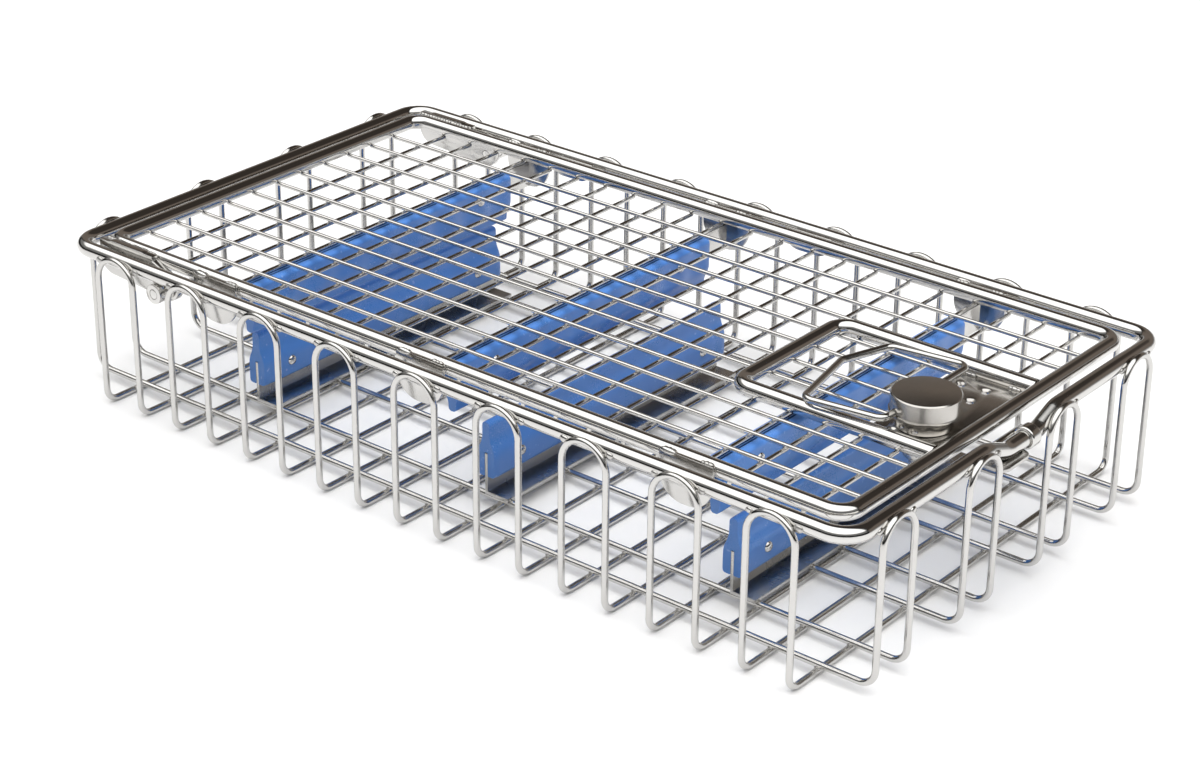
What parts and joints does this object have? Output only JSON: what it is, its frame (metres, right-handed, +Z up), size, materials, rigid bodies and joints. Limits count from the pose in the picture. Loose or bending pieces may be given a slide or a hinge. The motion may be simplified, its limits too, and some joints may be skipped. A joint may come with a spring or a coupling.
{
  "type": "endoscope sterilization basket",
  "caption": "Wire basket with a hinged mesh lid, turn-knob latch and silicone clamping bars that hold endoscopes for cleaning and sterilization.",
  "frame": {"origin": "centre of the wire floor, on the surface the basket stands on", "axes": "+X along the basket towards the latch end, +Y to the far long side, +Z up"},
  "size_m": [0.486, 0.268, 0.0953],
  "materials": {
    "polished_steel": "electropolished",
    "sheet_steel": "pickled",
    "satin_steel": "satin",
    "blue_silicone": "smooth matt"
  },
  "bodies": {
    "basket": {"cross_ring_1": "polished_steel", "cross_ring_2": "polished_steel", "cross_ring_3": "polished_steel", "cross_ring_4": "polished_steel", "cross_ring_5": "polished_steel", "cross_ring_6": "polished_steel", "cross_ring_7": "polished_steel", "cross_ring_8": "polished_steel", "cross_ring_9": "polished_steel", "length_ring_1": "polished_steel", "length_ring_2": "polished_steel", "length_ring_3": "polished_steel", "length_ring_4": "polished_steel", "rim": "polished_steel", "rim_collar": "polished_steel", "rim_link_rod": "polished_steel", "keeper_plate": "sheet_steel", "hinge_bush_near": "polished_steel", "hinge_bush_far": "polished_steel", "lower_bracket_1": "sheet_steel", "lower_bracket_2": "sheet_steel", "lower_bracket_3": "sheet_steel", "lower_silicone_bar_1": "blue_silicone", "lower_silicone_bar_2": "blue_silicone", "lower_silicone_bar_3": "blue_silicone", "lower_rivets": "polished_steel"},
    "lid": {"lid_frame": "polished_steel", "guard_loop": "polished_steel", "latch_plate": "satin_steel", "lid_cross_wires": "polished_steel", "lid_length_wires": "polished_steel", "hinge_cheek_near": "sheet_steel", "hinge_cheek_far": "sheet_steel", "hinge_pin_near": "polished_steel", "hinge_pin_far": "polished_steel", "upper_bracket_1": "sheet_steel", "upper_bracket_2": "sheet_steel", "upper_bracket_3": "sheet_steel", "upper_silicone_bar_1": "blue_silicone", "upper_silicone_bar_2": "blue_silicone", "upper_silicone_bar_3": "blue_silicone", "upper_rivets": "polished_steel", "lid_stay_lugs": "sheet_steel"},
    "knob": {"knob_foot": "satin_steel", "knob_cap": "satin_steel", "knob_spindle": "polished_steel", "tongue": "sheet_steel", "tongue_nut": "sheet_steel"},
    "bail": {"bail": "polished_steel"}
  },
  "joints": [
    {"name": "lid_hinge", "type": "hinge", "parent": "basket", "child": "lid", "pos_m": [-0.175, 0, 0.071], "axis": [0, -1, 0], "range_deg": [0, 95]},
    {"name": "knob_turn", "type": "hinge", "parent": "lid", "child": "knob", "pos_m": [0.2, -0.0175, 0.0793], "axis": [0, 0, -1], "range_deg": [0, 90]},
    {"name": "bail_fold", "type": "hinge", "parent": "knob", "child": "bail", "pos_m": [0.193, -0.0175, 0.0881], "axis": [0, 1, 0], "range_deg": [0, 100]}
  ]
}
